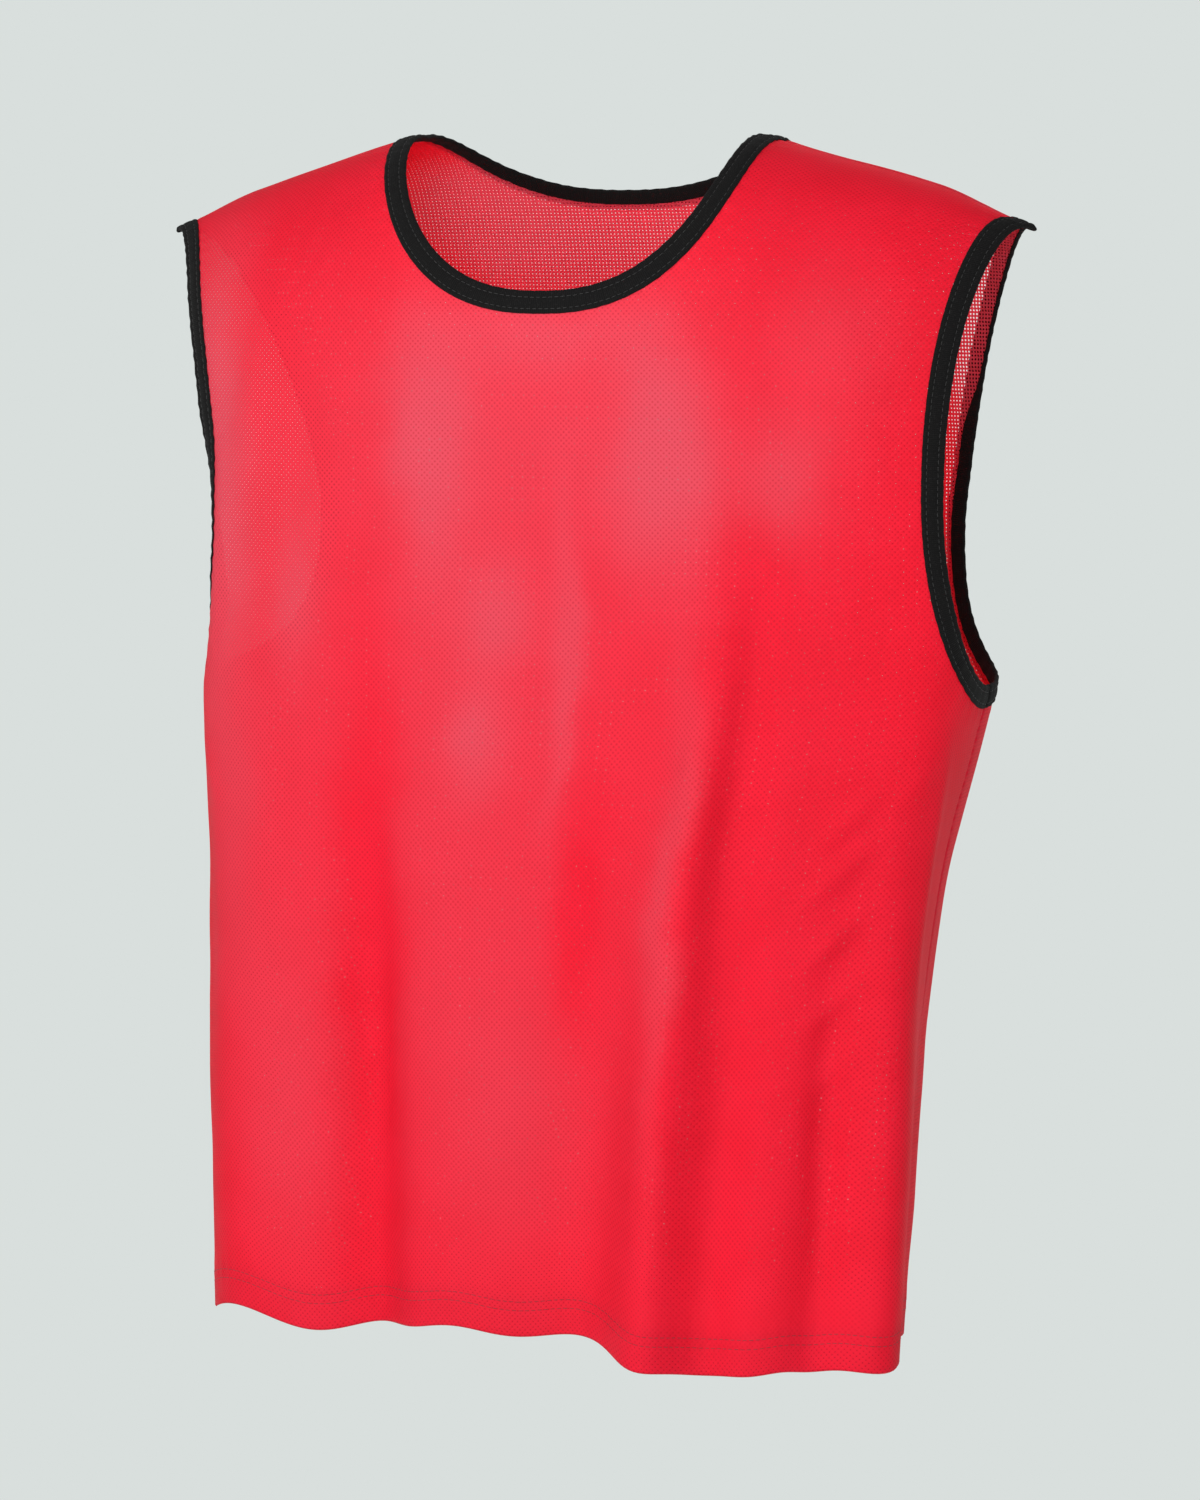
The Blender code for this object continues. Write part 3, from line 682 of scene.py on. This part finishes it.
def binding_line(line):
    """Stations all round a binding: the panel, the cut's edge there, and where the binding ends."""
    stations = []
    edge = neckline if line == "neck" else armhole
    for panel in CUTS:
        both = np.concatenate([edge(panel), edge(panel, BINDING_WIDTH)], axis=1)
        half = resampled(both, BINDING_STEP)
        other = half * (-1.0, 1.0, -1.0, 1.0)
        if line == "neck":
            runs = (half, other[::-1]) if panel == "front" else (other, half[::-1])
        else:
            run = half if line == "left" else other
            runs = (run if panel == "front" else run[::-1],)
        for run in runs:
            stations += [(panel, station[:2], station[2:]) for station in run[:-1]]
    return stations


def on_cloth(stations, insets, lifts):
    """The place of each station at its inset from the cut's edge and its lift off the cloth."""
    places = np.empty((len(stations), 3))
    insets, lifts = (np.broadcast_to(value, len(stations)) for value in (insets, lifts))
    panels, edge, end = map(np.array, zip(*stations))
    points = edge + (end - edge) * (insets[:, None] / BINDING_WIDTH)
    for panel in CUTS:
        mine = panels == panel
        places[mine] = cloth_points(panel, points[mine], lifts[mine])
    return places


def make_binding(line, name, node, material):
    """A strip folded round a raw edge, its length along the edge, and the width it was cut to."""
    stations = binding_line(line)
    panels, edge, _ = map(np.array, zip(*stations))
    tip_down = float(shoulder_down(SHOULDER_HALF))
    along = (edge[:, 1] - tip_down) / (UNDERARM_DOWN - tip_down)
    curl = smoothstep(along / CURL_START) * (1.0 - smoothstep((along - CURL_END) / CURL_FADE))
    curl = np.where((panels == "back") & (line != "neck"), curl, 0.0)
    inner = INNER_SHARE + curl * (CURLED_SHARE - INNER_SHARE)
    columns = [on_cloth(stations, share * BINDING_WIDTH, lift) for share, lift in OUTER_LEG]
    columns += [on_cloth(stations, share * np.where(share > 0.0, inner, 1.0) * BINDING_WIDTH, -lift)
                for share, lift in INNER_LEG]
    rows = np.stack(columns, axis=1)
    count, wide = rows.shape[:2]
    # The first station comes again at the end, so that the UV map has no torn face.
    rows = np.concatenate([rows, rows[:1]])
    along, across = travelled(rows[:, LENGTH_COLUMN]), travelled(rows[0])
    faces, uvs = grid_faces(count, wide), [(far, side) for far in along for side in across]
    if line == "right":
        faces = [face[::-1] for face in faces]
    piece = add_piece(name, rows.reshape(-1, 3), faces, uvs, material, BINDING_CLOTH)
    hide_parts(node)
    return piece, along[-1], across[-1]


def stitch(start, end, normal):
    """The points and faces of one stitch, a plump strand that dips into the cloth at both ends."""
    start, end, normal = Vector(start), Vector(end), Vector(normal)
    aside = (end - start).cross(normal).normalized()
    points = []
    for share, girth, rise in STITCH_SHAPE:
        middle = start.lerp(end, share) + normal * rise * THREAD
        for k in range(RING):
            angle = 2 * math.pi * k / RING
            out = math.cos(angle) * aside + math.sin(angle) * normal
            points.append(middle + girth * THREAD * out)
    faces = grid_faces(len(STITCH_SHAPE) - 1, RING, closed=True)
    faces.append(tuple(range(RING))[::-1])
    faces.append(tuple(range(len(points) - RING, len(points))))
    return points, faces


def add_stitches(name, strands, material):
    """One piece of many stitches, each (start, end, normal)."""
    points, faces, uvs = [], [], []
    for strand in strands:
        first = len(points)
        own, own_faces = stitch(*strand)
        points += own
        faces += [tuple(first + corner for corner in face) for face in own_faces]
        uvs += [(i / len(own), first) for i in range(len(own))]
    return add_piece(name, points, faces, uvs, material)


def row_strands(places, normals):
    """Stitches end to end along a line of close places."""
    along = travelled(places)
    pitch = STITCH_LENGTH + STITCH_GAP
    starts = np.arange(0.0, along[-1] - STITCH_LENGTH, pitch)

    def at(lengths, values):
        return np.stack([np.interp(lengths, along, values[:, k]) for k in range(3)], axis=1)
    return list(zip(at(starts, places), at(starts + STITCH_LENGTH, places), at(starts, normals)))


def hem_strands(panel, above):
    """A row of stitches along a panel's hem."""
    across = np.arange(-SIDE_ACROSS[panel], SIDE_ACROSS[panel], HEM_ROW_STEP)
    points = flat(across, BODY_LENGTH - above)
    _, normals = placed(panel, points)
    return row_strands(cloth_points(panel, points, CLOTH / 2), normals)


def binding_strands(line, inset):
    """A row of stitches round a binding's outer leg."""
    stations = binding_line(line)
    stations.append(stations[0])
    places = on_cloth(stations, inset, BINDING_ROW_LIFT + BINDING_CLOTH / 2)
    below = on_cloth(stations, inset, 0.0)
    normals = (places - below) / np.linalg.norm(places - below, axis=1)[:, None]
    return row_strands(places, normals)


def seam_line(name):
    """A seam's allowance on the back panel's cut: its seam line, and its overlocked edge."""
    sign = 1.0 if name.endswith("left") else -1.0
    if name.startswith("side"):
        down = np.arange(UNDERARM_DOWN + SEAM_ENDS, BODY_LENGTH - HEM_HEIGHT - SEAM_STEP / 2, SEAM_STEP)
        seam = flat(sign * SIDE_ACROSS["back"], down)
        return seam, seam - (sign * ALLOWANCE, 0.0)
    across = np.arange(NECK_HALF + SEAM_ENDS, SHOULDER_HALF - SEAM_ENDS, SEAM_STEP)
    seam = flat(sign * across, shoulder_down(across))
    return seam, seam + (0.0, ALLOWANCE)


def make_allowance(name, material, thread):
    """The two raw edges of a seam, overlocked together and lying on the back panel's inside."""
    seam, edge = seam_line(name)
    steps = np.linspace(0.0, 1.0, ALLOWANCE_POINTS)
    columns = [cloth_points("back", seam + (edge - seam) * share, ALLOWANCE_LIFT) for share in steps]
    rows = np.stack(columns, axis=1)
    count, wide = rows.shape[:2]
    uvs = [(SEAM_STEP * i, ALLOWANCE * share) for i in range(count) for share in steps]
    strip = add_piece(name + "_seam", rows.reshape(-1, 3), grid_faces(count - 1, wide), uvs, material,
                      ALLOWANCE_CLOTH)
    below = ALLOWANCE_LIFT - ALLOWANCE_CLOTH / 2
    near, far = (cloth_points("back", seam + share * (edge - seam), below)
                 for share in (OVERLOCK_NEAR, OVERLOCK_FAR))
    _, normals = placed("back", seam)
    strands = []
    for i in range(count - 2):
        strands += [(near[i], far[i], -normals[i]), (far[i], near[i + 1], -normals[i])]
    threads = add_stitches(name + "_overlock", strands, thread)
    return strip, threads


# ---- Materials ----

def new_material(name, constants):
    """A Principled material with these inputs, its node tree and its shader."""
    material = bpy.data.materials.new(name)
    material.use_nodes = True
    shader = material.node_tree.nodes["Principled BSDF"]
    for socket, value in constants.items():
        shader.inputs[socket].default_value = value
    return material, material.node_tree, shader


def add_node(tree, kind, inputs=(), **settings):
    """A shader node, its inputs fed by other nodes' sockets or by constants, by name or in order."""
    node = tree.nodes.new("ShaderNode" + kind)
    for name, value in settings.items():
        setattr(node, name, value)
    for key, value in inputs.items() if isinstance(inputs, dict) else enumerate(inputs):
        if isinstance(value, bpy.types.NodeSocket):
            tree.links.new(value, node.inputs[key])
        else:
            node.inputs[key].default_value = value
    return node


def calculate(tree, operation, *values):
    """The result of an operation on sockets and numbers."""
    return add_node(tree, "Math", values, operation=operation).outputs[0]


def waves(tree, operation, value, pitch):
    """A wave of the given pitch along a coordinate."""
    return calculate(tree, operation, calculate(tree, "MULTIPLY", value, 2 * math.pi / pitch))


def ranged(tree, value, low, high, to_low=0.0, to_high=1.0):
    """A value eased from one range to another."""
    values = (value, low, high, to_low, to_high)
    return add_node(tree, "MapRange", values, interpolation_type="SMOOTHSTEP").outputs["Result"]


def mixed(tree, share, first, second):
    """Two colours mixed by a share of the second."""
    inputs = dict(zip(MIX_INPUTS, (share, first, second)))
    return add_node(tree, "Mix", inputs, data_type="RGBA").outputs[MIX_OUTPUT]


def mixed_shaders(tree, share, first, second):
    """Two shaders mixed by a share of the second."""
    return add_node(tree, "MixShader", (share, first.outputs[0], second.outputs[0]))


def show(tree, shader, output="Material Output"):
    """Makes a shader the one that is seen."""
    tree.links.new(shader.outputs[0], tree.nodes[output].inputs["Surface"])


def cut_place(tree, bias=0.0):
    """The place in the flat cut in metres, and its two coordinates, turned by `bias`."""
    place = add_node(tree, "UVMap", uv_map="cut").outputs["UV"]
    turned = add_node(tree, "VectorRotate", {"Vector": place, "Angle": bias}, rotation_type="Z_AXIS")
    parts = add_node(tree, "SeparateXYZ", [turned.outputs[0]])
    return place, parts.outputs["X"], parts.outputs["Y"]


def speckle(tree, place, scale, output="Fac"):
    """Soft noise over the cut."""
    inputs = {"Vector": place, "Scale": scale, "Detail": 2.0}
    return add_node(tree, "TexNoise", inputs).outputs[output]


def vector_math(tree, operation, *values):
    """The result of an operation on sockets and triples."""
    node = add_node(tree, "VectorMath", values, operation=operation)
    return node.outputs["Value" if operation in ("DOT_PRODUCT", "LENGTH") else "Vector"]


def patched(tree, table, panel, place):
    """The sum of a table's soft patches at a place of a panel's cut."""
    grain = speckle(tree, place, PATCH_WARP_SCALE, "Color")
    shift = vector_math(tree, "SUBTRACT", grain, (0.5, 0.5, 0.5))
    shift = vector_math(tree, "MULTIPLY", shift, (PATCH_WARP, PATCH_WARP, 0.0))
    warped = vector_math(tree, "ADD", place, shift)
    total = None
    for patch in rows_of(table, PATCH_COLUMNS, panel):
        away = vector_math(tree, "SUBTRACT", warped, (patch["across"], -patch["down"], 0.0))
        sizes = (1.0 / patch["half_across"], 1.0 / patch["half_down"], 0.0)
        away = vector_math(tree, "MULTIPLY", away, sizes)
        far = vector_math(tree, "DOT_PRODUCT", away, away)
        near = calculate(tree, "EXPONENT", calculate(tree, "MULTIPLY", far, -1.0))
        total = calculate(tree, "MULTIPLY_ADD", near, patch["share"], 0.0 if total is None else total)
    return total


def bumped(tree, shader, height, distance, strength):
    """Gives a shader a small relief."""
    bump = add_node(tree, "Bump", {"Height": height, "Distance": distance, "Strength": strength})
    tree.links.new(bump.outputs["Normal"], shader.inputs["Normal"])


def mesh_cloth(name, panel=None, bias=0.0):
    """Knitted polyester mesh with a soft sheen. A panel's has rows of small holes, turned by `bias`,
    painted shade at their rims, and patches of painted sheen, painted light and painted shade.
    """
    material, tree, shader = new_material(name, {
        "Base Color": RED, "Roughness": CLOTH_ROUGHNESS[0], "IOR": 1.35, "Specular IOR Level": 0.22,
        "Sheen Weight": 0.03, "Sheen Roughness": 0.40, "Sheen Tint": (1.0, 0.80, 0.82, 1.0)})
    place, across, down = cut_place(tree, bias)
    # A sine down the cut puts the holes of the turned-up hem between those of the outer layer.
    wave = calculate(tree, "MULTIPLY", waves(tree, "COSINE", across, HOLE_PITCH),
                     waves(tree, "SINE", down, HOLE_PITCH))
    yarn = waves(tree, "SINE", across, YARN_PITCH)
    loops = waves(tree, "SINE", down, YARN_PITCH)
    knit = calculate(tree, "MULTIPLY", yarn, loops)
    painted_rim_shade = ranged(tree, wave, HOLE_RIM, HOLE_SIZE)
    uneven = ranged(tree, speckle(tree, place, UNEVEN_SCALE), 0.35, 0.65)
    cloth = mixed(tree, uneven, RED, RED_DEEP)
    if panel:
        # Painted sheen and painted light from the patches, and painted shade down the troughs where their
        # share is below 0.
        pale = ranged(tree, patched(tree, PAINTED_LIGHT_PATCHES, panel, place), 0.0, 1.0)
        cloth = mixed(tree, pale, cloth, RED_PAINTED_LIGHT)
    yarn_shade = ranged(tree, knit, -1.0, 1.0, 0.0, YARN_SHADE)
    cloth = mixed(tree, yarn_shade, cloth, RED_DARK)
    if panel:
        # Painted shade, darkening the cloth towards the rim of each hole.
        cloth = mixed(tree, calculate(tree, "MULTIPLY", painted_rim_shade, YARN_SHADE), cloth, RED_DARK)
        stretched = patched(tree, STRETCHED_PATCHES, panel, place)
        raised = calculate(tree, "MULTIPLY_ADD", stretched, HOLE_STRETCH, wave)
        openness = ranged(tree, raised, HOLE_SIZE - HOLE_EDGE, HOLE_SIZE + HOLE_EDGE)
        let_through(tree, shader, cloth, openness)
    tree.links.new(cloth, shader.inputs["Base Color"])
    tree.links.new(ranged(tree, knit, -1.0, 1.0, *CLOTH_ROUGHNESS), shader.inputs["Roughness"])
    sunk = calculate(tree, "MULTIPLY", wave, -0.7)
    height = calculate(tree, "ADD", sunk, calculate(tree, "MULTIPLY", knit, 0.3))
    bumped(tree, shader, height, KNIT_RELIEF, 0.8)
    return material


def let_through(tree, shader, colour, openness):
    """The cloth glows softly when lit from behind, and its holes are open."""
    glow = add_node(tree, "BsdfTranslucent", {"Color": colour})
    yarn = mixed_shaders(tree, LIGHT_THROUGH, shader, glow)
    show(tree, mixed_shaders(tree, openness, yarn, add_node(tree, "BsdfTransparent")))


def binding_knit():
    """Black rib knit, with fine ribs across the strip, and specks of greyer lint and rubbed wear at
    random.
    """
    material, tree, shader = new_material("binding_knit", {
        "Base Color": BLACK, "Roughness": 0.80, "Specular IOR Level": 0.16,
        "Sheen Weight": 0.015, "Sheen Roughness": 0.5})
    place, along, across = cut_place(tree)
    ribs = waves(tree, "SINE", along, RIB_PITCH)
    loops = waves(tree, "SINE", across, RIB_PITCH)
    lint = ranged(tree, speckle(tree, place, LINT_SCALE), 0.55, 0.75)
    # Painted shade: a deeper black in the hollows between the ribs.
    rib_share = ranged(tree, ribs, -0.6, 0.9)
    cloth = mixed(tree, rib_share, BLACK_RIB_SHADE, BLACK)
    cloth = mixed(tree, calculate(tree, "MULTIPLY", lint, 0.5), cloth, BLACK_WORN)
    tree.links.new(cloth, shader.inputs["Base Color"])
    tree.links.new(ranged(tree, lint, 0.0, 1.0, 0.86, 0.70), shader.inputs["Roughness"])
    height = calculate(tree, "ADD", ribs, calculate(tree, "MULTIPLY", loops, 0.35))
    bumped(tree, shader, height, RIB_RELIEF, 0.8)
    return material


def thread(name, colour, dark):
    """Twisted sewing thread."""
    material, tree, shader = new_material(name, {
        "Base Color": colour, "Roughness": 0.5, "Sheen Weight": 0.05})
    place, along, _ = cut_place(tree)
    twist = calculate(tree, "SINE", calculate(tree, "MULTIPLY", along, THREAD_TWISTS))
    shade = mixed(tree, ranged(tree, twist, -1.0, 1.0), colour, dark)
    tree.links.new(shade, shader.inputs["Base Color"])
    wear = ranged(tree, speckle(tree, place, WEAR_SCALE), 0.3, 0.7, 0.45, 0.65)
    tree.links.new(wear, shader.inputs["Roughness"])
    bumped(tree, shader, twist, THREAD_RELIEF, 0.6)
    return material


# ---- Camera, lamps and surroundings ----

def towards(azimuth, elevation):
    """The direction out from the bib, by its angle round from the front and its height."""
    a, e = math.radians(azimuth), math.radians(elevation)
    return Vector((math.sin(a) * math.cos(e), -math.cos(a) * math.cos(e), math.sin(e)))


def aimed(name, data, place, back):
    """An object at a place, whose own back faces along `back`."""
    added = add_object(name, data)
    added.location = place
    added.rotation_mode = "QUATERNION"
    added.rotation_quaternion = (-back).to_track_quat("-Z", "Y")
    return added


def add_camera():
    """The camera, in front of the bib, a little to the wearer's left."""
    back, right = towards(AZIMUTH, ELEVATION), towards(AZIMUTH + QUARTER, 0.0)
    data = bpy.data.cameras.new("camera")
    data.lens = LENS
    place = TARGET + TARGET_RIGHT * right + DISTANCE * back
    bpy.context.scene.camera = aimed("camera", data, place, back)


def add_light(name, azimuth, elevation, distance, size, power, gleams):
    """A soft square lamp that faces the middle of the bib, and may show in its sheen."""
    back = towards(azimuth, elevation)
    data = bpy.data.lights.new(name, "AREA")
    data.shape = "SQUARE"
    data.size = size
    data.energy = power
    aimed(name, data, TARGET + distance * back, back).visible_glossy = gleams


def add_floor():
    """A plain pale floor that fades into the pale surroundings far from the bib."""
    mesh = bpy.data.meshes.new("floor")
    count = FLOOR_POINTS
    turns = [2 * math.pi * k / count for k in range(count)]
    points = [(reach * math.cos(turn), reach * math.sin(turn), FLOOR_Z)
              for reach in FLOOR_RINGS for turn in turns]
    faces = [face[::-1] for face in grid_faces(len(FLOOR_RINGS) - 1, count, closed=True)]
    mesh.from_pydata(points, [], [*faces, tuple(range(count))])
    floor = add_object("floor", mesh)
    material, tree, shader = new_material("floor_paint", {
        "Base Color": FLOOR_COLOUR, "Roughness": 1.0, "Specular IOR Level": 0.0})
    glow = add_node(tree, "Emission", {"Color": PALE})
    place = add_node(tree, "NewGeometry").outputs["Position"]
    far = ranged(tree, vector_math(tree, "LENGTH", place), *FLOOR_FADE)
    show(tree, mixed_shaders(tree, far, shader, glow))
    mesh.materials.append(material)


def add_surroundings():
    """An even pale room: what is seen of it, and how strongly it lights the bib."""
    world = bpy.data.worlds.new("surroundings")
    bpy.context.scene.world = world
    world.use_nodes = True
    tree = world.node_tree
    seen = tree.nodes["Background"]
    seen.inputs["Color"].default_value = PALE
    seen.inputs["Strength"].default_value = 1.0
    lit = add_node(tree, "Background", {"Color": (1.0, 1.0, 1.0, 1.0), "Strength": AMBIENT})
    watched = add_node(tree, "LightPath").outputs["Is Camera Ray"]
    show(tree, mixed_shaders(tree, watched, lit, seen), "World Output")
    bpy.context.scene.view_settings.view_transform = "Standard"
    bpy.context.scene.cycles.transparent_max_bounces = MOST_HOLES


def main():
    """The bib in its setting."""
    add_surroundings()
    add_floor()
    for row in LIGHTS:
        add_light(*row)
    add_camera()

    cloths = {panel: mesh_cloth(panel + "_mesh_cloth", panel, HOLE_BIAS[panel]) for panel in CUTS}
    seam_cloth, knit = mesh_cloth("seam_cloth"), binding_knit()
    red_thread = thread("red_thread", RED_THREAD, RED_THREAD_DARK)
    black_thread = thread("black_thread", BLACK_THREAD, BLACK_THREAD_DARK)

    seams = {}
    for name in ("side_left", "side_right", "shoulder_left", "shoulder_right"):
        seams[name] = make_allowance(name, seam_cloth, red_thread)
    for panel in CUTS:
        piece, area = make_panel(panel, cloths[panel])
        strands = [strand for above in HEM_ROWS for strand in hem_strands(panel, above)]
        stitches = add_stitches(panel + "_hem_stitches", strands, red_thread)
        with_it = [stitches]
        if panel == "back":
            with_it += [part for pair in seams.values() for part in pair]
    bindings = (
        ("neck", "neck_band", "neck_binding"),
        ("left", "armhole_band_left", "armhole_binding_left"),
        ("right", "armhole_band_right", "armhole_binding_right"),
    )
    for line, name, node in bindings:
        band, length, width = make_binding(line, name, node, knit)
        strands = [strand for inset in BINDING_ROWS for strand in binding_strands(line, inset)]
        stitches = add_stitches(name + "_stitches", strands, black_thread)


main()
